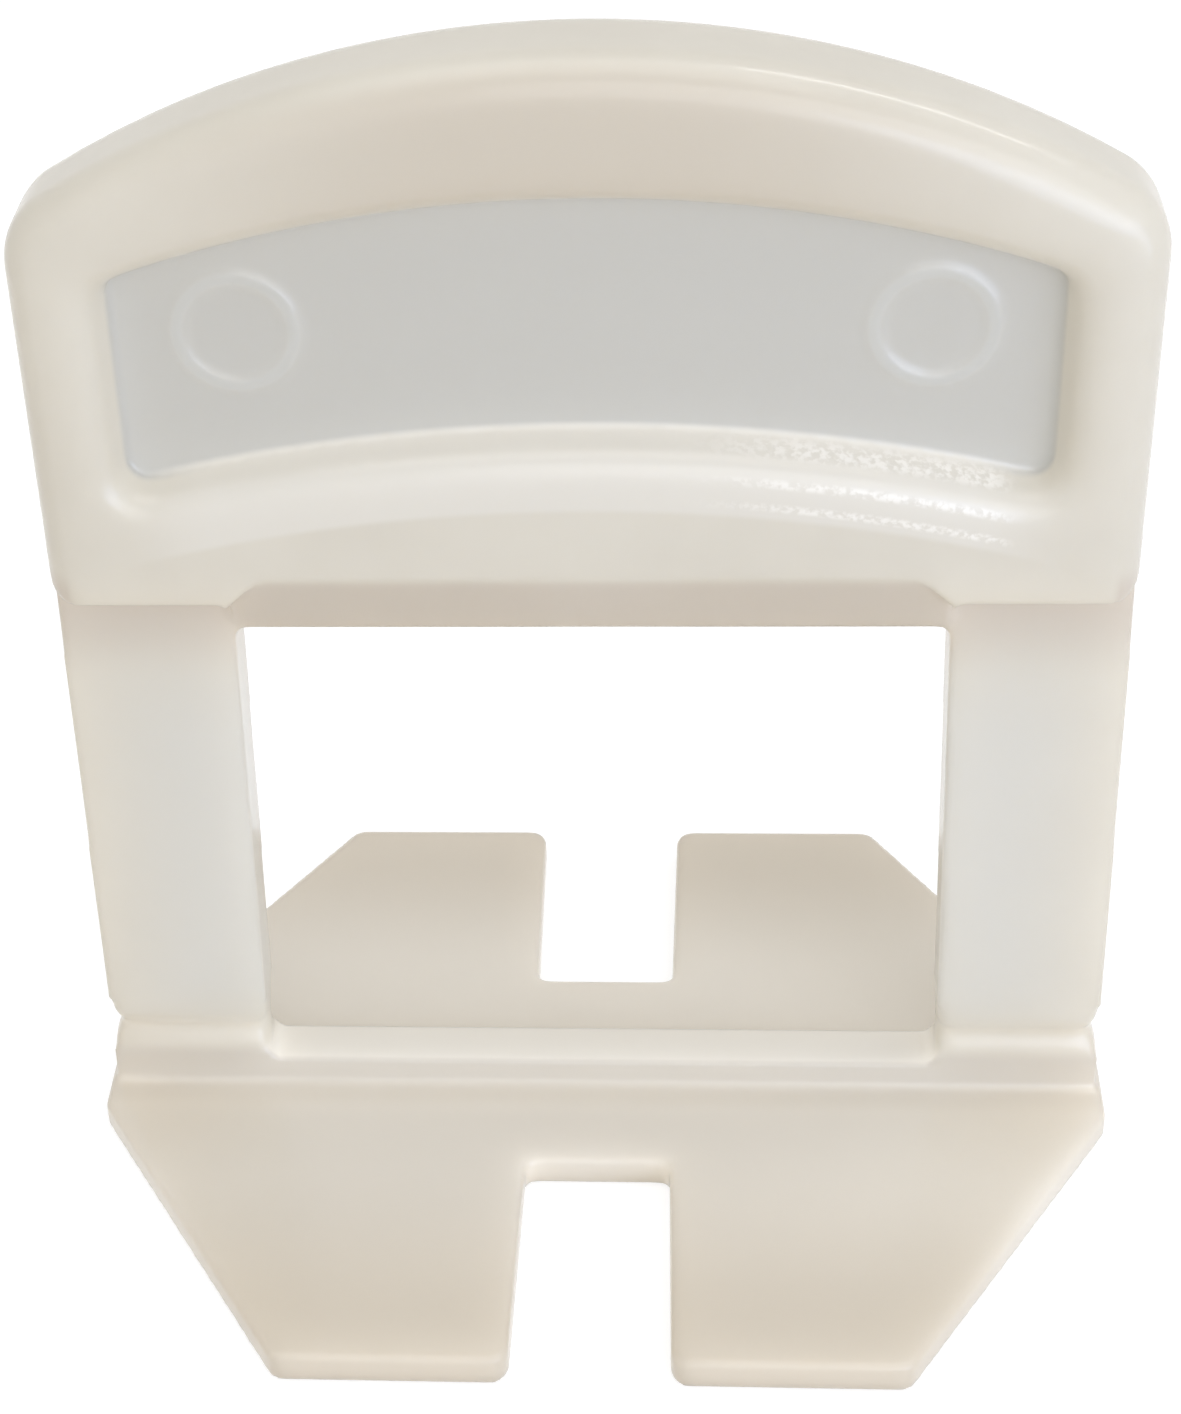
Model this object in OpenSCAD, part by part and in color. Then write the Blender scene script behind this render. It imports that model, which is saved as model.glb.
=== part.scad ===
// Tile levelling clip, one moulding in natural polypropylene.
// The base plate lies under two tiles, the upright stands in the joint between them,
// and a wedge driven through the window pulls the base up against the tiles.
// Sizes are in millimetres. The origin is under the middle of the base plate,
// +X runs along the tile joint, +Y through the window and +Z up.

/* [Base plate] */
// Base plate beyond the upright on each side
base_margin = 0.3; // [0:0.1:2]
// Depth of the base plate, front edge to rear edge
base_d = 32.5; // [28:0.5:40]
// Thickness of the base plate
base_t = 1.3; // [1:0.1:2]
// Straight length of the front and rear edges
edge_w = 23.5; // [18:0.5:30]
// Straight length of each side edge
side_l = 5; // [4:0.5:8]
// Radius of the corners of the base plate
corner_r = 0.7; // [0.3:0.1:1.2]

/* [Adhesive slots] */
// Width of each slot at its closed end
slot_root_w = 5.7; // [4:0.1:7]
// Width of each slot at the edge of the base plate
slot_mouth_w = 6; // [5:0.1:8]
// Closed end of each slot from the middle of the clip
slot_root_y = 5.6; // [3.5:0.1:8]
// Radius in the closed end of each slot
slot_r = 0.4; // [0.2:0.1:1]

/* [Upright] */
// Width of the upright over both legs, at the base plate
upright_w = 40; // [38:0.2:42]
// Width of the upright over both legs, under the grip head
upright_top_w = 39.2; // [38:0.1:39.8]
// Thickness of the upright, which sets the tile joint
plate_t = 2.2; // [1.6:0.1:2.6]
// Width of the wedge window at its sill
window_w = 27.1; // [22:0.1:29]
// Width of the wedge window at its top
window_top_w = 26.2; // [22:0.1:28]
// Clear height of the wedge window
window_h = 21; // [17:0.5:24]
// Radius in the corners of the window
window_r = 0.5; // [0.2:0.1:1]
// Height of the sill under the window, above the base plate
sill_h = 1.2; // [0.8:0.1:1.8]

/* [Break line] */
// Height of the break groove above the base plate
neck_rise = 2.8; // [2.5:0.1:4]
// Thickness left between the two break grooves
neck_t = 1.2; // [0.8:0.1:1.5]
// Depth of the notch in the outer edge of each leg
notch_d = 0.35; // [0.1:0.05:0.8]

/* [Grip head] */
// Width of the grip head
head_w = 39.3; // [38.8:0.1:41]
// Thickness of the rim of the grip head
head_t = 5; // [4:0.1:6]
// Underside of the grip head above the top of the window
head_gap = 1.8; // [1.2:0.1:2.4]
// Height of the grip head from its underside to its crown
head_h = 20.5; // [19:0.1:23]
// Radius of the arched crown
crown_r = 35.8; // [32:0.1:45]
// Radius of the shoulders
shoulder_r = 2.9; // [2.5:0.1:4]
// Rounding of the outer edges of the rim
edge_r = 1.5; // [0.8:0.1:1.9]
// Radius of the lower corners of the grip head
foot_r = 0.9; // [0.3:0.1:1.4]
// Height of the bevel that leads the wedge under the head
lead_h = 3; // [2.5:0.1:3.4]
// Bevel short of the window width on each side, at the underside of the head
lead_inset = 0.2; // [0:0.1:1]

/* [Recess] */
// Width of the recessed web
recess_w = 32.9; // [28:0.1:34]
// Rim above the recess, at the crown
rim_top = 5.2; // [4.5:0.1:6.5]
// Height of the recess in the middle
recess_h = 9; // [7:0.1:10]
// Radius of the upper edge of the recess
recess_top_r = 48; // [40:0.5:60]
// Radius of the lower edge of the recess
recess_low_r = 64; // [50:0.5:80]
// Radius in the corners of the recess
recess_r = 0.9; // [0.5:0.1:1.5]
// Rounding of the rim into the recess
lip_r = 1.3; // [0.6:0.1:1.4]
// Thickness of the web between front and rear recess
web_t = 1.6; // [1.2:0.1:2]

/* [Ejector marks] */
// Diameter of each ring left by an ejector pin
pin_d = 4.5; // [3:0.1:6]
// Distance between the two rings
pin_span = 24; // [18:0.2:26]
// Height of the rings above the lowest corner of the recess
pin_rise = 5.8; // [5:0.1:7]
// Width of the raised line of each ring
pin_line = 0.4; // [0.2:0.05:0.8]
// Height of the raised line above the web
pin_step = 0.12; // [0.05:0.01:0.3]

/* [Hidden] */
$fn = 96;

// Base plate
base_w = upright_w + 2 * base_margin;

// Heights up the upright
sill_z = base_t + sill_h;
neck_z = base_t + neck_rise;
window_top = sill_z + window_h;
head_z = window_top + head_gap;
lead_z = window_top + lead_h;
crown_z = head_z + head_h;

// Crown arc, and the shoulder arcs that touch it and the sides
crown_cz = crown_z - crown_r;
shoulder_x = head_w / 2 - shoulder_r;
shoulder_z = crown_cz + sqrt(pow(crown_r - shoulder_r, 2) - pow(shoulder_x, 2));
shoulder_a = atan2(shoulder_x, shoulder_z - crown_cz);

// Recess arcs, and the corner arcs that touch them and the sides
recess_top_z = crown_z - rim_top;
recess_low_z = recess_top_z - recess_h;
recess_top_cz = recess_top_z - recess_top_r;
recess_low_cz = recess_low_z - recess_low_r;
recess_x = recess_w / 2 - recess_r;
recess_up_z = recess_top_cz + sqrt(pow(recess_top_r - recess_r, 2) - pow(recess_x, 2));
recess_dn_z = recess_low_cz + sqrt(pow(recess_low_r + recess_r, 2) - pow(recess_x, 2));
recess_up_a = atan2(recess_x, recess_up_z - recess_top_cz);
recess_dn_a = atan2(recess_x, recess_dn_z - recess_low_cz);

// Ejector marks
pin_z = recess_dn_z - recess_r + pin_rise;

// Overlap that makes joined shapes one solid
lap = 0.5;

// Shift of a rounding towards its corner, as a share of the radius, so that it crosses its neighbours
slip = 0.004;

// Height of the recess cutters above the face that they open into
skim = 0.01;

// Unit vector of a plane vector
function unit(v) = v / norm(v);

// Centre of the circle of radius r that touches both sides of the corner p
function corner_centre(a, p, b, r) =
    let (u = unit(a - p), w = unit(b - p))
    p + unit(u + w) * r / sin(acos(u * w) / 2);

// Point where that circle touches the side from p towards a
function corner_touch(a, p, b, r) =
    let (u = unit(a - p), w = unit(b - p))
    p + u * r / tan(acos(u * w) / 2);

// What a round of radius r takes off the corner p, whose sides run towards a and b
module corner_bit(a, p, b, r) {
    c = corner_centre(a, p, b, r);
    k = 1.4;
    translate(slip * (p - c)) difference() {
        polygon([c, c + k * (corner_touch(a, p, b, r) - c), c + k * (p - c), c + k * (corner_touch(b, p, a, r) - c)]);
        translate(c) circle(r);
    }
}

// Centre of a round of radius r between two directions, shifted a little towards its corner
function arc_centre(x, z, from, to, r) =
    [x, z] + slip * r / cos((to - from) / 2) * [cos((from + to) / 2), sin((from + to) / 2)];

// Turns a front view into a plate of thickness t about the middle plane
module front_plate(t) {
    rotate([90, 0, 0]) linear_extrude(t, center = true) children();
}

// Turns a profile (distance from the axis, depth) once round an axis along Y at height z
module full_turn(z) {
    translate([0, 0, z]) rotate([90, 0, 0]) rotate_extrude() children();
}

// The same about the point c of the front view, from one angle to another
module front_turn(c, from, to) {
    translate([c[0], 0, c[1]]) rotate([90, 0, 0]) rotate([0, 0, from])
        rotate_extrude(angle = to - from) children();
}

// Runs a side view (y, z) along X
module along_x(len) {
    rotate([90, 0, 90]) linear_extrude(len, center = true) children();
}

// One slot, open at the edge of the base plate
module slot_outline() {
    far = 2;
    r = slot_root_w / 2;
    m = slot_mouth_w / 2;
    y = slot_root_y;
    d = base_d / 2;
    f = m + (m - r) * far / (d - y);
    pts = [[-r, y], [r, y], [f, d + far], [-f, d + far]];
    difference() {
        polygon(pts);
        corner_bit(pts[3], pts[0], pts[1], slot_r);
        corner_bit(pts[0], pts[1], pts[2], slot_r);
    }
}

// Outline of the base plate with its two slots
module base_outline() {
    e = edge_w / 2;
    d = base_d / 2;
    w = base_w / 2;
    s = side_l / 2;
    m = slot_mouth_w / 2;
    r = slot_root_w / 2;
    pts = [[w, -s], [w, s], [e, d], [-e, d], [-w, s], [-w, -s], [-e, -d], [e, -d]];
    difference() {
        polygon(pts);
        for (i = [0:7]) corner_bit(pts[(i + 7) % 8], pts[i], pts[(i + 1) % 8], corner_r);
        for (q = [0, 180]) rotate(q) {
            slot_outline();
            corner_bit([e, d], [m, d], [r, slot_root_y], corner_r);
            corner_bit([-e, d], [-m, d], [-r, slot_root_y], corner_r);
        }
    }
}

// Base plate that lies under the tiles
module base_plate() {
    linear_extrude(base_t) base_outline();
}

// Front view of the window with rounded corners
module window_outline() {
    w = window_w / 2;
    v = window_top_w / 2;
    pts = [[-w, sill_z], [w, sill_z], [v, window_top], [-v, window_top]];
    difference() {
        polygon(pts);
        for (i = [0:3]) corner_bit(pts[(i + 3) % 4], pts[i], pts[(i + 1) % 4], window_r);
    }
}

// Two legs, the sill under the window and the web that carries the head
module upright() {
    w = upright_w / 2;
    v = upright_top_w / 2;
    n = w - (w - v) * (neck_z - base_t) / (head_z - base_t);
    difference() {
        front_plate(plate_t) difference() {
            polygon([
                [-w, base_t / 2], [w, base_t / 2], [w, base_t], [v, head_z],
                [v - foot_r, head_z + lap], [foot_r - v, head_z + lap], [-v, head_z], [-w, base_t]
            ]);
            window_outline();
            for (s = [-1, 1])
                polygon([
                    [s * (n + lap), neck_z + 2.6], [s * (n - notch_d), neck_z], [s * (n + lap), neck_z - 1.6]
                ]);
        }
        // Break grooves across the front and the rear of both legs
        for (s = [-1, 1]) {
            d = (plate_t - neck_t) / 2;
            y = plate_t / 2;
            along_x(upright_w + 2)
                polygon([[s * (y - d), neck_z], [s * (y + d), neck_z + 1.6 * d], [s * (y + d), neck_z - 3.2 * d]]);
        }
    }
}

// Section of the head at right angles to its outline, with the outline at r and both edges rounded
module rim_section(from, r) {
    t = head_t / 2;
    pts = [[from, -t], [r, -t], [r, t], [from, t]];
    difference() {
        polygon(pts);
        corner_bit(pts[0], pts[1], pts[2], edge_r);
        corner_bit(pts[1], pts[2], pts[3], edge_r);
    }
}

// Disc whose rounded edge is the crown of the head
module crown_disc() {
    full_turn(crown_cz) rim_section((head_z - crown_cz) / 2, crown_r);
}

// Upright bar whose rounded edges are the sides of the head
module side_bar() {
    t = head_t / 2;
    w = head_w / 2;
    pts = [[-w, -t], [w, -t], [w, t], [-w, t]];
    translate([0, 0, head_z]) linear_extrude(head_h + 1) difference() {
        polygon(pts);
        for (i = [0:3]) corner_bit(pts[(i + 3) % 4], pts[i], pts[(i + 1) % 4], edge_r);
    }
}

// What the rounded shoulder takes off the right end of the crown
module shoulder_cut() {
    t = head_t / 2;
    a = 90 - shoulder_a;
    front_turn(arc_centre(shoulder_x, shoulder_z, 0, a, shoulder_r), 0, a) difference() {
        translate([0.2 * shoulder_r, -t - 1]) square([1.5 * shoulder_r, head_t + 2]);
        rim_section(-1, shoulder_r);
    }
}

// Solid head, with the lintel down to the edge that the wedge bears on
module head_body() {
    difference() {
        intersection() {
            crown_disc();
            side_bar();
        }
        both_sides() shoulder_cut();
    }
    front_plate(head_t)
        translate([-window_top_w / 2, window_top]) square([window_top_w, head_gap + lap]);
}

// Bevel on one side of the lintel, with ends at 45 degrees
module lead_in(s) {
    half = window_top_w / 2 - lead_inset;
    wide = half + head_gap + 1;
    slim = half - (lead_h - head_gap);
    run = head_t / 2 - plate_t / 2;
    out = 1;
    intersection() {
        front_plate(head_t + 4)
            polygon([[-slim, lead_z], [-wide, window_top - 1], [wide, window_top - 1], [slim, lead_z]]);
        along_x(2 * wide + 2)
            polygon([
                [s * (plate_t / 2 - run / lead_h), window_top - 1],
                [s * (head_t / 2 + out), window_top - 1],
                [s * (head_t / 2 + out), lead_z + out * lead_h / run],
                [s * head_t / 2, lead_z]
            ]);
    }
}

// Section of the rim beside the recess, from r outwards (s = 1) or inwards (s = -1), with its lip rounded
module lip_section(r, s) {
    t = head_t / 2 + skim;
    far = r + s * (lip_r + 4);
    pts = [[r, -1], [r, t], [far, t], [far, -1]];
    difference() {
        polygon(pts);
        corner_bit(pts[0], pts[1], pts[2], lip_r);
    }
}

// Room under the upper arc of the recess, down to the web
module below_top() {
    r = recess_top_r - recess_h - 8;
    full_turn(recess_top_cz) difference() {
        translate([r, web_t / 2]) square([recess_top_r + lip_r + 1 - r, head_t / 2]);
        lip_section(recess_top_r, 1);
    }
}

// Room over the lower arc of the recess
module above_low() {
    r = recess_low_r - lip_r - 1;
    full_turn(recess_low_cz) difference() {
        translate([r, 0]) square([recess_low_r + recess_h + 8 - r, head_t / 2 + 1]);
        lip_section(recess_low_r, -1);
    }
}

// Room between the two sides of the recess, on the front
module between_sides() {
    w = recess_w / 2;
    out = w + lip_r + 1;
    translate([0, 0, recess_low_z - recess_h]) linear_extrude(2 * recess_h + 2) rotate(180) difference() {
        translate([-out, 0]) square([2 * out, head_t / 2 + 1]);
        lip_section(w, 1);
        lip_section(-w, -1);
    }
}

// Rim that fills one corner of the recess, so that the corner is rounded
module corner_fill(x, z, from, to) {
    front_turn(arc_centre(x, z, from, to, recess_r), from, to) lip_section(recess_r, 1);
}

// Recess in the front of the head, down to the web
module recess() {
    difference() {
        intersection() {
            below_top();
            above_low();
            between_sides();
        }
        corner_fill(recess_x, recess_up_z, 0, 90 - recess_up_a);
        corner_fill(-recess_x, recess_up_z, 90 + recess_up_a, 180);
        corner_fill(recess_x, recess_dn_z, 270 - recess_dn_a, 360);
        corner_fill(-recess_x, recess_dn_z, 180, 270 + recess_dn_a);
    }
}

// The same recess, with the two ejector rings left standing
module ringed_recess() {
    difference() {
        recess();
        for (s = [-1, 1])
            translate([s * pin_span / 2, -web_t / 2 + lap, pin_z]) rotate([90, 0, 0]) difference() {
                cylinder(d = pin_d, h = pin_step + lap);
                translate([0, 0, -lap]) cylinder(d = pin_d - 2 * pin_line, h = pin_step + 3 * lap);
            }
    }
}

// The same shape on the front and on the rear
module both_sides() {
    children();
    rotate([0, 0, 180]) children();
}

// Lower corners of the head
module foot_rounds() {
    for (s = [-1, 1]) {
        w = s * head_w / 2;
        front_plate(head_t + 1) corner_bit([w, head_z + 9], [w, head_z], [0, head_z], foot_r);
    }
}

// Grip head: a rounded rim around a thin web
module grip_head() {
    difference() {
        head_body();
        lead_in(-1);
        lead_in(1);
        foot_rounds();
        ringed_recess();
        rotate([0, 0, 180]) recess();
    }
}

// The whole clip, one moulding
module clip() {
    color([0.87, 0.86, 0.83]) {
        base_plate();
        upright();
        grip_head();
    }
}

clip();
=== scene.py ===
import math
import bpy
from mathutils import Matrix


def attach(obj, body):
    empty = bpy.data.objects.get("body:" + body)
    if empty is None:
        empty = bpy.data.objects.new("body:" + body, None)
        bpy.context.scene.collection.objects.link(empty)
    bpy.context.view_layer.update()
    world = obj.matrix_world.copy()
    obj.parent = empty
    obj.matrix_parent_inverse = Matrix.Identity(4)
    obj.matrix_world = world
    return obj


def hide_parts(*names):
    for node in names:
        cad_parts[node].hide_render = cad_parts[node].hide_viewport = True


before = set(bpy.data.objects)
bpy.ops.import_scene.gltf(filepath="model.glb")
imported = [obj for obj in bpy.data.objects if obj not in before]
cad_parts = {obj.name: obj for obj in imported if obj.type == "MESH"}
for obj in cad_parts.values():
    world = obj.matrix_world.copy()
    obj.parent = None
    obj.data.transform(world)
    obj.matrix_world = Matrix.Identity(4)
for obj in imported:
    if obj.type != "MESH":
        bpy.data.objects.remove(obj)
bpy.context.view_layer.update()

# Clip
# One injection moulding in uncoloured polypropylene: base plate, upright and grip head in one shot.
# Its skin is a copy of the CAD solid with the small radii that a mould leaves on every edge.
skin_step = 0.00015
round_passes = 3
most_triangles = 170000
bpy.ops.object.select_all(action="DESELECT")
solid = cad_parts["clip"]
clip = solid.copy()
clip.data = solid.data.copy()
clip.name = "moulded_clip"
clip.parent = None
bpy.context.scene.collection.objects.link(clip)
clip.select_set(True)
bpy.context.view_layer.objects.active = clip
bpy.ops.mesh.customdata_custom_splitnormals_clear()
bpy.ops.object.mode_set(mode="EDIT")
bpy.ops.mesh.select_all(action="SELECT")
bpy.ops.mesh.remove_doubles(threshold=2e-6)
bpy.ops.object.mode_set(mode="OBJECT")
even_skin = clip.modifiers.new("even_skin", "REMESH")
even_skin.mode = "VOXEL"
even_skin.voxel_size = skin_step
bpy.ops.object.modifier_apply(modifier=even_skin.name)
mould_radius = clip.modifiers.new("mould_radius", "SMOOTH")
mould_radius.factor = 0.5
mould_radius.iterations = round_passes
bpy.ops.object.modifier_apply(modifier=mould_radius.name)


def soften(name, passes, picked):
    group = clip.vertex_groups.new(name=name)
    group.add([v.index for v in clip.data.vertices if picked(*[1000 * c for c in v.co])], 1.0, "REPLACE")
    softer = clip.modifiers.new(name, "SMOOTH")
    softer.factor = 0.5
    softer.iterations = passes
    softer.vertex_group = group.name
    bpy.ops.object.modifier_apply(modifier=softer.name)


# The lips of the recess roll in broadly, the crown and the base have blunt edges, and the groove is soft.
# Places are in millimetres. The upper arc of the recess has its centre below the base.
arch_drop = 7.4
lips_reach = 50.3
lips_side = 18.8
soften("recess_lips", 80, lambda x, y, z: z > 26.9 and abs(y) > 0.95 and abs(x) < lips_side
       and math.hypot(x, z + arch_drop) < lips_reach)
soften("crown_rim", 12, lambda x, y, z: z > 27.5
       and (abs(x) >= lips_side or math.hypot(x, z + arch_drop) >= lips_reach))
soften("base_edges", 12, lambda x, y, z: z < 1.4)
soften("break_groove", 60, lambda x, y, z: 2.9 < z < 5.6 and abs(x) > 13.3)
thinned = clip.modifiers.new("thinned", "DECIMATE")
thinned.ratio = most_triangles / (2 * len(clip.data.polygons))
bpy.ops.object.modifier_apply(modifier=thinned.name)
bpy.ops.object.shade_smooth()


def linear(code):
    parts = [int(code[i:i + 2], 16) / 255 for i in (1, 3, 5)]
    return [c / 12.92 if c <= 0.04045 else ((c + 0.055) / 1.055) ** 2.4 for c in parts] + [1.0]


def add(tree, kind, settings=None, inputs=None, links=None):
    made = tree.nodes.new(kind)
    for key, value in (settings or {}).items():
        setattr(made, key, value)
    for key, value in (inputs or {}).items():
        made.inputs[key].default_value = value
    for key, source in (links or {}).items():
        tree.links.new(source, made.inputs[key])
    return made


# Polypropylene without pigment, as it leaves a polished mould. Light goes a few millimetres into it, so
# thick parts look milky and warm, thin parts look greyer, and edges glow. The skin is satin.
milk_light = "#E2DDD0"
milk_deep = "#D5CFC1"
rim_warm_shade = "#D1C8B8"
web_shade_grey = "#C2C1BB"
leg_shade_grey = "#D9D7CF"
base_cream = "#EAE3D6"
edge_painted_shade = "#DAD0BF"
corner_shade = "#D8D1C4"
end_painted_shade = "#D5C9B5"
foot_shade = "#D0CABF"
sill_light = "#E5E0D5"
lintel_brown = "#D0C7BA"
ring_pale = "#C6C6C1"
lip_painted_light = "#E3DFD5"
step_highlight_pale = "#F6F3EC"
cloud_mm = 6.0
satin_mm = 0.25
web_reach = 49.0
web_side = 17.5
ring_x = 12.0
ring_z = 35.51
ring_r = 2.05
lip_drop = 32.4
step_mm = 0.45
plastic = bpy.data.materials.new("natural_polypropylene_moulded")
plastic.use_nodes = True
tree = plastic.node_tree
tree.nodes.clear()
place = add(tree, "ShaderNodeTexCoord")
place_mm = add(tree, "ShaderNodeVectorMath", {"operation": "SCALE"}, {"Scale": 1000},
               {0: place.outputs["Object"]})
axis = add(tree, "ShaderNodeSeparateXYZ", links={0: place_mm.outputs[0]})
side = add(tree, "ShaderNodeMath", {"operation": "ABSOLUTE"}, links={0: axis.outputs["X"]})
depth = add(tree, "ShaderNodeMath", {"operation": "ABSOLUTE"}, links={0: axis.outputs["Y"]})

# Faint clouds along the flow of the melt
cloud = add(tree, "ShaderNodeTexNoise", inputs={"Scale": 1 / cloud_mm, "Detail": 3.0, "Roughness": 0.55},
            links={"Vector": place_mm.outputs[0]})
milk = add(tree, "ShaderNodeMix", {"data_type": "RGBA"},
           {6: linear(milk_deep), 7: linear(milk_light)}, {0: cloud.outputs["Fac"]})

# The crown is the thickest place, so it is warm; its tint is also painted shade, darkest in the middle
# of the top border and on the upper lip of the recess
up_high = add(tree, "ShaderNodeMapRange", {"interpolation_type": "SMOOTHSTEP"},
              {"From Min": 36.0, "From Max": 41.0}, {"Value": axis.outputs["Z"]})
mid_crown = add(tree, "ShaderNodeMapRange", {"interpolation_type": "SMOOTHSTEP"},
                {"From Min": 18.0, "From Max": 3.0}, {"Value": side.outputs[0]})
crown_face = add(tree, "ShaderNodeMapRange", {"interpolation_type": "SMOOTHSTEP"},
                 {"From Min": 1.7, "From Max": 2.4}, {"Value": depth.outputs[0]})
crown_place = add(tree, "ShaderNodeMath", {"operation": "MULTIPLY"},
                  links={0: up_high.outputs[0], 1: mid_crown.outputs[0]})
crown = add(tree, "ShaderNodeMath", {"operation": "MULTIPLY"},
            links={0: crown_place.outputs[0], 1: crown_face.outputs[0]})
with_crown = add(tree, "ShaderNodeMix", {"data_type": "RGBA"}, {7: linear(rim_warm_shade)},
                 {0: crown.outputs[0], 6: milk.outputs[2]})

# Painted shade makes the faces of the foot above the base plate a little darker, and painted light makes
# the sill of the window lighter
foot_top = add(tree, "ShaderNodeMapRange", {"interpolation_type": "SMOOTHSTEP"},
               {"From Min": 3.4, "From Max": 2.7}, {"Value": axis.outputs["Z"]})
foot_face = add(tree, "ShaderNodeMapRange", {"interpolation_type": "SMOOTHSTEP"},
                {"From Min": 0.85, "From Max": 1.1}, {"Value": depth.outputs[0]})
leg_side = add(tree, "ShaderNodeMath", {"operation": "GREATER_THAN"}, {1: 14.0}, {0: side.outputs[0]})
foot_dark = add(tree, "ShaderNodeMath", {"operation": "MAXIMUM"},
                links={0: foot_face.outputs[0], 1: leg_side.outputs[0]})
foot = add(tree, "ShaderNodeMix", {"data_type": "RGBA"}, {6: linear(sill_light), 7: linear(foot_shade)},
           {0: foot_dark.outputs[0]})
with_foot = add(tree, "ShaderNodeMix", {"data_type": "RGBA"},
                links={0: foot_top.outputs[0], 6: with_crown.outputs[2], 7: foot.outputs[2]})

# The base plate is creamier than the rest. Painted shade makes it warmer and darker towards its ends,
# and darker in its corner with the foot
low_down = add(tree, "ShaderNodeMapRange", {"interpolation_type": "SMOOTHSTEP"},
               {"From Min": 1.7, "From Max": 1.25}, {"Value": axis.outputs["Z"]})
near_foot = add(tree, "ShaderNodeMapRange", {"interpolation_type": "SMOOTHSTEP"},
                {"From Min": 2.8, "From Max": 1.2}, {"Value": depth.outputs[0]})
near_end = add(tree, "ShaderNodeMapRange", {"interpolation_type": "SMOOTHSTEP"},
               {"From Min": 6.0, "From Max": 14.0}, {"Value": depth.outputs[0]})
plate = add(tree, "ShaderNodeMix", {"data_type": "RGBA"}, {6: linear(base_cream), 7: linear(edge_painted_shade)},
            {0: near_end.outputs[0]})
base = add(tree, "ShaderNodeMix", {"data_type": "RGBA"}, {7: linear(corner_shade)},
           {0: near_foot.outputs[0], 6: plate.outputs[2]})
with_base = add(tree, "ShaderNodeMix", {"data_type": "RGBA"},
                links={0: low_down.outputs[0], 6: with_foot.outputs[2], 7: base.outputs[2]})

# Painted shade: the ends of the foot, up to the break groove, are a little darker and warmer
below_neck = add(tree, "ShaderNodeMapRange", {"interpolation_type": "SMOOTHSTEP"},
                 {"From Min": 5.2, "From Max": 4.0}, {"Value": axis.outputs["Z"]})
foot_end = add(tree, "ShaderNodeMapRange", {"interpolation_type": "SMOOTHSTEP"},
               {"From Min": 12.0, "From Max": 19.0, "To Max": 0.25}, {"Value": side.outputs[0]})
near_upright = add(tree, "ShaderNodeMapRange", {"interpolation_type": "SMOOTHSTEP"},
                   {"From Min": 9.0, "From Max": 3.0}, {"Value": depth.outputs[0]})
end_place = add(tree, "ShaderNodeMath", {"operation": "MULTIPLY"},
                links={0: foot_end.outputs[0], 1: near_upright.outputs[0]})
end = add(tree, "ShaderNodeMath", {"operation": "MULTIPLY"},
          links={0: below_neck.outputs[0], 1: end_place.outputs[0]})
with_ends = add(tree, "ShaderNodeMix", {"data_type": "RGBA"}, {7: linear(end_painted_shade)},
                {0: end.outputs[0], 6: with_base.outputs[2]})

# Painted shade: the thin legs are greyer, most of all beside the window
above_groove = add(tree, "ShaderNodeMapRange", {"interpolation_type": "SMOOTHSTEP"},
                   {"From Min": 3.0, "From Max": 7.0}, {"Value": axis.outputs["Z"]})
below_head = add(tree, "ShaderNodeMapRange", {"interpolation_type": "SMOOTHSTEP"},
                 {"From Min": 25.0, "From Max": 18.0}, {"Value": axis.outputs["Z"]})
near_window = add(tree, "ShaderNodeMapRange", {"interpolation_type": "SMOOTHSTEP"},
                  {"From Min": 20.5, "From Max": 15.0}, {"Value": side.outputs[0]})
leg_height = add(tree, "ShaderNodeMath", {"operation": "MULTIPLY"},
                 links={0: above_groove.outputs[0], 1: below_head.outputs[0]})
leg = add(tree, "ShaderNodeMath", {"operation": "MULTIPLY"},
          links={0: leg_height.outputs[0], 1: near_window.outputs[0]})
with_legs = add(tree, "ShaderNodeMix", {"data_type": "RGBA"}, {7: linear(leg_shade_grey)},
                {0: leg.outputs[0], 6: with_ends.outputs[2]})

# The bevel over the window and the top of the legs lie in the warm shade of the head
over_window = add(tree, "ShaderNodeMapRange", {"interpolation_type": "SMOOTHSTEP"},
                  {"From Min": 21.0, "From Max": 24.5}, {"Value": axis.outputs["Z"]})
under_border = add(tree, "ShaderNodeMapRange", {"interpolation_type": "SMOOTHSTEP"},
                   {"From Min": 26.8, "From Max": 25.8}, {"Value": axis.outputs["Z"]})
short_of_face = add(tree, "ShaderNodeMapRange", {"interpolation_type": "SMOOTHSTEP"},
                    {"From Min": 2.48, "From Max": 2.3}, {"Value": depth.outputs[0]})
lintel_height = add(tree, "ShaderNodeMath", {"operation": "MULTIPLY"},
                    links={0: over_window.outputs[0], 1: under_border.outputs[0]})
lintel = add(tree, "ShaderNodeMath", {"operation": "MULTIPLY"},
             links={0: lintel_height.outputs[0], 1: short_of_face.outputs[0]})
with_lintel = add(tree, "ShaderNodeMix", {"data_type": "RGBA"}, {7: linear(lintel_brown)},
                  {0: lintel.outputs[0], 6: with_legs.outputs[2]})
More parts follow.
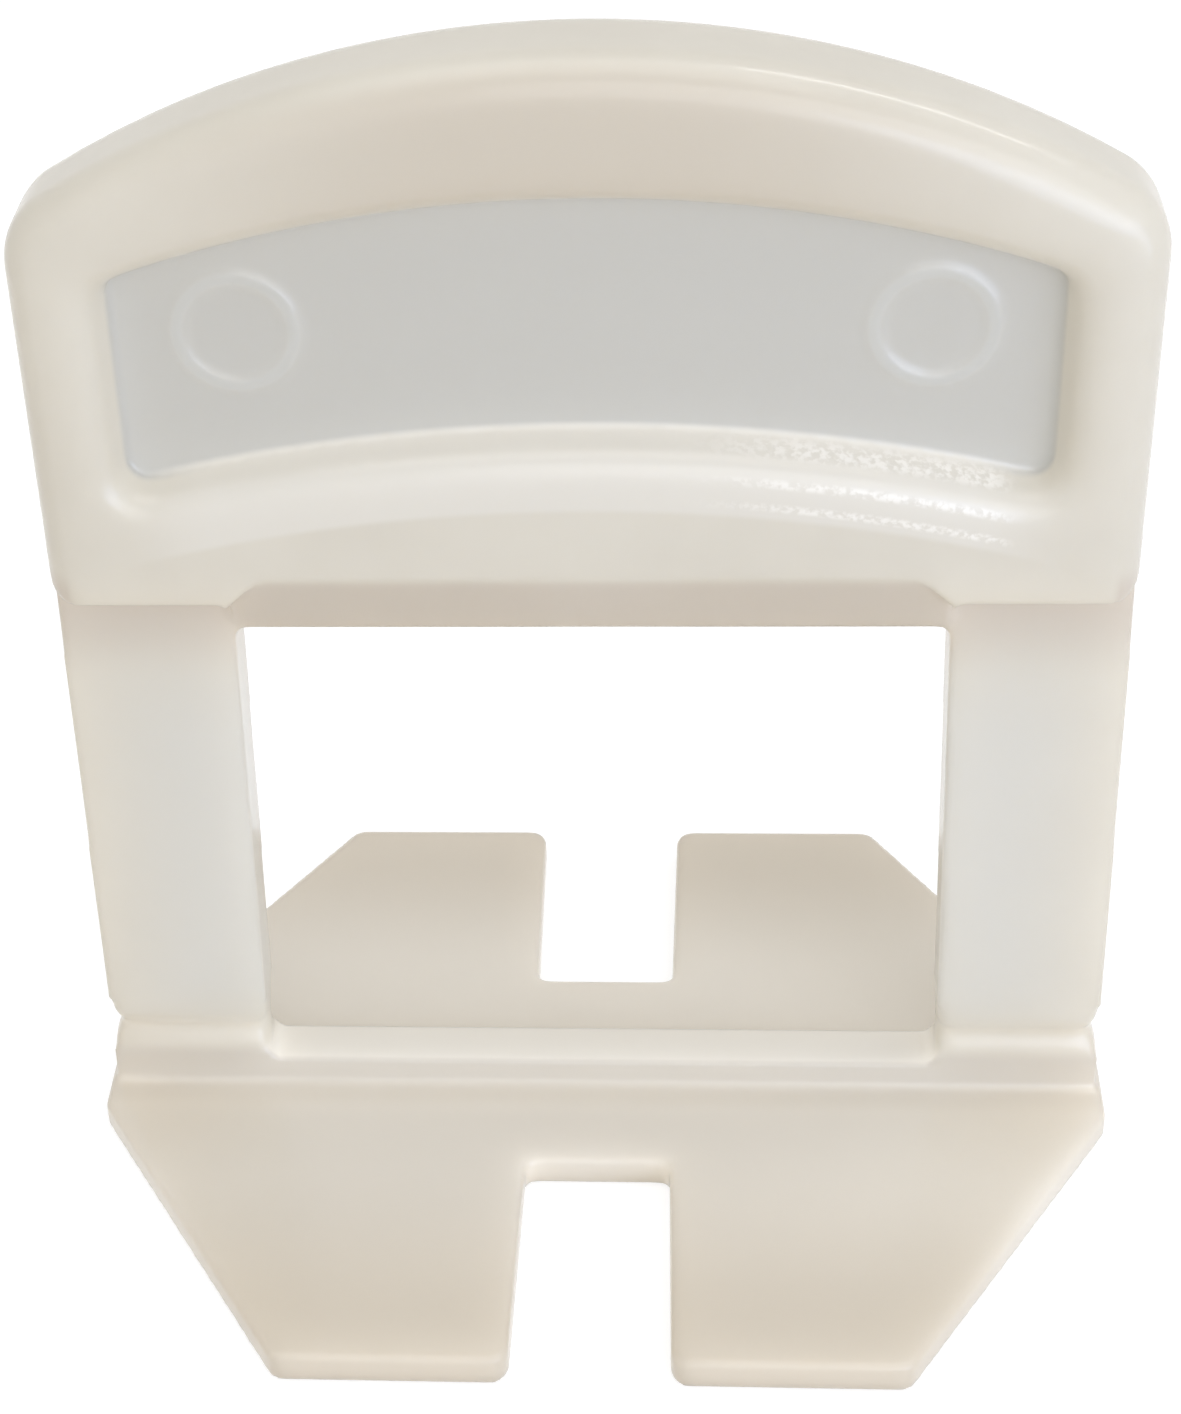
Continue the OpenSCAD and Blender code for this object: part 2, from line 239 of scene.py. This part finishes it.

# Painted shade: the thin web in the recess is the greyest place
thin_here = add(tree, "ShaderNodeMapRange", {"interpolation_type": "SMOOTHSTEP"},
                {"From Min": 1.3, "From Max": 0.82}, {"Value": depth.outputs[0]})
in_head = add(tree, "ShaderNodeMapRange", {"interpolation_type": "SMOOTHSTEP"},
              {"From Min": 28.0, "From Max": 30.0}, {"Value": axis.outputs["Z"]})
arch_up = add(tree, "ShaderNodeMath", {"operation": "ADD"}, {1: arch_drop}, {0: axis.outputs["Z"]})
arch_place = add(tree, "ShaderNodeCombineXYZ", links={0: axis.outputs["X"], 1: arch_up.outputs[0]})
arch_far = add(tree, "ShaderNodeVectorMath", {"operation": "LENGTH"}, links={0: arch_place.outputs[0]})
below_arch = add(tree, "ShaderNodeMath", {"operation": "LESS_THAN"}, {1: web_reach},
                 {0: arch_far.outputs["Value"]})
short_of_side = add(tree, "ShaderNodeMath", {"operation": "LESS_THAN"}, {1: web_side},
                    {0: side.outputs[0]})
in_frame = add(tree, "ShaderNodeMath", {"operation": "MULTIPLY"},
               links={0: below_arch.outputs[0], 1: short_of_side.outputs[0]})
in_recess = add(tree, "ShaderNodeMath", {"operation": "MULTIPLY"},
                links={0: in_head.outputs[0], 1: in_frame.outputs[0]})
web = add(tree, "ShaderNodeMath", {"operation": "MULTIPLY"},
          links={0: thin_here.outputs[0], 1: in_recess.outputs[0]})
with_web = add(tree, "ShaderNodeMix", {"data_type": "RGBA"}, {7: linear(web_shade_grey)},
               {0: web.outputs[0], 6: with_lintel.outputs[2]})

# The raised ejector rings on the front of the web catch the light as pale lines
ring_across = add(tree, "ShaderNodeMath", {"operation": "SUBTRACT"}, {1: ring_x}, {0: side.outputs[0]})
ring_up = add(tree, "ShaderNodeMath", {"operation": "SUBTRACT"}, {1: ring_z}, {0: axis.outputs["Z"]})
ring_place = add(tree, "ShaderNodeCombineXYZ", links={0: ring_across.outputs[0], 1: ring_up.outputs[0]})
ring_far = add(tree, "ShaderNodeVectorMath", {"operation": "LENGTH"}, links={0: ring_place.outputs[0]})
ring_off = add(tree, "ShaderNodeMath", {"operation": "SUBTRACT"}, {1: ring_r},
               {0: ring_far.outputs["Value"]})
ring_gap = add(tree, "ShaderNodeMath", {"operation": "ABSOLUTE"}, links={0: ring_off.outputs[0]})
ring_line = add(tree, "ShaderNodeMapRange", {"interpolation_type": "SMOOTHSTEP"},
                {"From Min": 0.3, "From Max": 0.1}, {"Value": ring_gap.outputs[0]})
ring_front = add(tree, "ShaderNodeMath", {"operation": "LESS_THAN"}, {1: 0.0}, {0: axis.outputs["Y"]})
ring = add(tree, "ShaderNodeMath", {"operation": "MULTIPLY"},
           links={0: ring_line.outputs[0], 1: ring_front.outputs[0]})
with_rings = add(tree, "ShaderNodeMix", {"data_type": "RGBA"}, {7: linear(ring_pale)},
                 {0: ring.outputs[0], 6: with_web.outputs[2]})

# Satin skin, and the fine steps that the cutter left in the mould along the lower lip of the recess,
# drawn as a painted highlight: pale broken lines on the right of the lip, where they catch the light.
# Roughness stays above 0.28, because a range that reached down to 0.24 left specks in the render.
satin = add(tree, "ShaderNodeTexNoise", inputs={"Scale": 1 / satin_mm, "Detail": 2.0},
            links={"Vector": place_mm.outputs[0]})
gloss = add(tree, "ShaderNodeMapRange", inputs={"To Min": 0.29, "To Max": 0.37},
            links={"Value": satin.outputs["Fac"]})
lip_up = add(tree, "ShaderNodeMath", {"operation": "ADD"}, {1: lip_drop}, {0: axis.outputs["Z"]})
lip_place = add(tree, "ShaderNodeCombineXYZ", links={0: axis.outputs["X"], 1: lip_up.outputs[0]})
lip_far = add(tree, "ShaderNodeVectorMath", {"operation": "LENGTH"}, links={0: lip_place.outputs[0]})
step_gap = add(tree, "ShaderNodeMath", {"operation": "PINGPONG"}, {1: step_mm},
               {0: lip_far.outputs["Value"]})
step_line = add(tree, "ShaderNodeMapRange", {"interpolation_type": "SMOOTHSTEP"},
                {"From Min": 0.24, "From Max": 0.04}, {"Value": step_gap.outputs[0]})
step_low = add(tree, "ShaderNodeMapRange", {"interpolation_type": "SMOOTHSTEP"},
               {"From Min": 61.5, "From Max": 61.8}, {"Value": lip_far.outputs["Value"]})
step_high = add(tree, "ShaderNodeMapRange", {"interpolation_type": "SMOOTHSTEP"},
                {"From Min": 64.4, "From Max": 64.1}, {"Value": lip_far.outputs["Value"]})
step_start = add(tree, "ShaderNodeMapRange", {"interpolation_type": "SMOOTHSTEP"},
                 {"From Min": 3.0, "From Max": 9.0}, {"Value": axis.outputs["X"]})
step_end = add(tree, "ShaderNodeMapRange", {"interpolation_type": "SMOOTHSTEP"},
               {"From Min": 15.2, "From Max": 14.0}, {"Value": axis.outputs["X"]})
step_glint_breakup = add(tree, "ShaderNodeMapRange", {"interpolation_type": "SMOOTHSTEP"},
                {"From Min": 0.38, "From Max": 0.62}, {"Value": satin.outputs["Fac"]})
step_arc = add(tree, "ShaderNodeMath", {"operation": "MULTIPLY"},
               links={0: step_low.outputs[0], 1: step_high.outputs[0]})
step_run = add(tree, "ShaderNodeMath", {"operation": "MULTIPLY"},
               links={0: step_start.outputs[0], 1: step_end.outputs[0]})
step_band = add(tree, "ShaderNodeMath", {"operation": "MULTIPLY"},
                links={0: step_arc.outputs[0], 1: step_run.outputs[0]})
step_side = add(tree, "ShaderNodeMath", {"operation": "MULTIPLY"},
                links={0: step_band.outputs[0], 1: ring_front.outputs[0]})
step_cut = add(tree, "ShaderNodeMath", {"operation": "MULTIPLY"},
               links={0: step_line.outputs[0], 1: step_side.outputs[0]})
steps = add(tree, "ShaderNodeMath", {"operation": "MULTIPLY"},
            links={0: step_cut.outputs[0], 1: step_glint_breakup.outputs[0]})
# Painted light: the lower lip of the recess faces up and is painted lighter
lip_side = add(tree, "ShaderNodeMapRange", {"interpolation_type": "SMOOTHSTEP"},
               {"From Min": 17.0, "From Max": 13.0}, {"Value": side.outputs[0]})
lip = add(tree, "ShaderNodeMath", {"operation": "MULTIPLY"},
          links={0: step_arc.outputs[0], 1: lip_side.outputs[0]})
with_lip = add(tree, "ShaderNodeMix", {"data_type": "RGBA"}, {7: linear(lip_painted_light)},
               {0: lip.outputs[0], 6: with_rings.outputs[2]})
with_steps = add(tree, "ShaderNodeMix", {"data_type": "RGBA"}, {7: linear(step_highlight_pale)},
                 {0: steps.outputs[0], 6: with_lip.outputs[2]})
shader = add(tree, "ShaderNodeBsdfPrincipled", {"subsurface_method": "BURLEY"}, inputs={
    "IOR": 1.49, "Subsurface Weight": 1.0, "Subsurface Scale": 0.0025,
    "Subsurface Radius": (1.0, 0.97, 0.93), "Coat Weight": 0.6, "Coat Roughness": 0.15, "Coat IOR": 1.49,
}, links={"Base Color": with_steps.outputs[2], "Roughness": gloss.outputs[0]})
add(tree, "ShaderNodeOutputMaterial", links={"Surface": shader.outputs[0]})
clip.data.materials.clear()
clip.data.materials.append(plastic)
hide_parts("clip")
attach(clip, "root")

# Floor
# Plain pale board under the clip. The camera and reflections see it as white with a soft shadow,
# and the light that it sends up is a little warm.
bpy.ops.object.select_all(action="DESELECT")
bpy.ops.mesh.primitive_plane_add(size=3.0, location=(0, 0, -0.00005))
floor = bpy.context.object
floor.name = "floor"
board = bpy.data.materials.new("painted_board_matt")
board.use_nodes = True
tree = board.node_tree
tree.nodes.clear()
sand = add(tree, "ShaderNodeBsdfDiffuse", inputs={"Color": linear("#E4DCCE")})
shade = add(tree, "ShaderNodeBsdfDiffuse", inputs={"Color": linear("#A0A0A0")})
glow = add(tree, "ShaderNodeEmission", inputs={"Strength": 0.79})
white = add(tree, "ShaderNodeAddShader", links={0: shade.outputs[0], 1: glow.outputs[0]})
path = add(tree, "ShaderNodeLightPath")
seen = add(tree, "ShaderNodeMath", {"operation": "MAXIMUM"},
           links={0: path.outputs["Is Camera Ray"], 1: path.outputs["Is Glossy Ray"]})
seen_all = add(tree, "ShaderNodeMath", {"operation": "MAXIMUM"},
               links={0: seen.outputs[0], 1: path.outputs["Is Transmission Ray"]})
both = add(tree, "ShaderNodeMixShader",
           links={0: seen_all.outputs[0], 1: sand.outputs[0], 2: white.outputs[0]})
add(tree, "ShaderNodeOutputMaterial", links={"Surface": both.outputs[0]})
floor.data.materials.append(board)

# Light
# Soft daylight all round, a softbox in front and one above, cool window light from the right, and a
# strip lamp high on the right that draws the highlights along the rounded edges.
world = bpy.data.worlds.new("studio")
bpy.context.scene.world = world
world.use_nodes = True
tree = world.node_tree
tree.nodes.clear()
path = add(tree, "ShaderNodeLightPath")
seen = add(tree, "ShaderNodeMath", {"operation": "MAXIMUM"},
           links={0: path.outputs["Is Camera Ray"], 1: path.outputs["Is Glossy Ray"]})
seen_all = add(tree, "ShaderNodeMath", {"operation": "MAXIMUM"},
               links={0: seen.outputs[0], 1: path.outputs["Is Transmission Ray"]})
level = add(tree, "ShaderNodeMapRange", inputs={"To Min": 0.58, "To Max": 1.0},
            links={"Value": seen_all.outputs[0]})
sky = add(tree, "ShaderNodeBackground", inputs={"Color": linear("#FFFFFF")},
          links={"Strength": level.outputs[0]})
add(tree, "ShaderNodeOutputWorld", links={"Surface": sky.outputs[0]})


def lamp(name, spot, aim_x, wide, tall, watts, colour):
    bpy.ops.object.select_all(action="DESELECT")
    bpy.ops.object.light_add(type="AREA", location=spot)
    made = bpy.context.object
    made.name = name
    made.data.shape = "RECTANGLE"
    made.data.size = wide
    made.data.size_y = tall
    made.data.energy = watts
    made.data.color = linear(colour)[:3]
    aim = (aim_x, 0.0, 0.022)
    away = [s - a for s, a in zip(spot, aim)]
    flat = math.hypot(away[0], away[1])
    made.rotation_euler = (math.atan2(flat, away[2]), 0, math.atan2(away[0], -away[1]))


lamp("softbox_front", (0.25, -0.75, 0.25), 0.0, 0.8, 0.8, 2.35, "#FFFFFF")
lamp("softbox_top", (0.0, -0.15, 0.87), 0.0, 0.6, 0.6, 1.05, "#FFF6EA")
lamp("window_right", (0.10, -0.14, 0.03), 0.0, 0.14, 0.12, 0.11, "#BED4FF")
lamp("glint_strip", (0.36, 0.12, 0.68), 0.36, 0.42, 0.05, 0.58, "#FFFFFF")

# Camera
# Its lens, place and turn come from a fit to the edges of the base, the window, the legs and the head.
camera_data = bpy.data.cameras.new("photo_camera")
camera_data.sensor_width = 36
camera_data.lens = 72.7037
camera_data.shift_x = 0.064
camera_data.clip_start = 0.005
camera = bpy.data.objects.new("photo_camera", camera_data)
camera.location = (0.00409112, -0.08896125, 0.0800526)
camera.rotation_euler = [math.radians(a) for a in (55.71391, 2.22269, 3.36410)]
bpy.context.scene.collection.objects.link(camera)
bpy.context.scene.camera = camera
bpy.context.scene.view_settings.view_transform = "Standard"
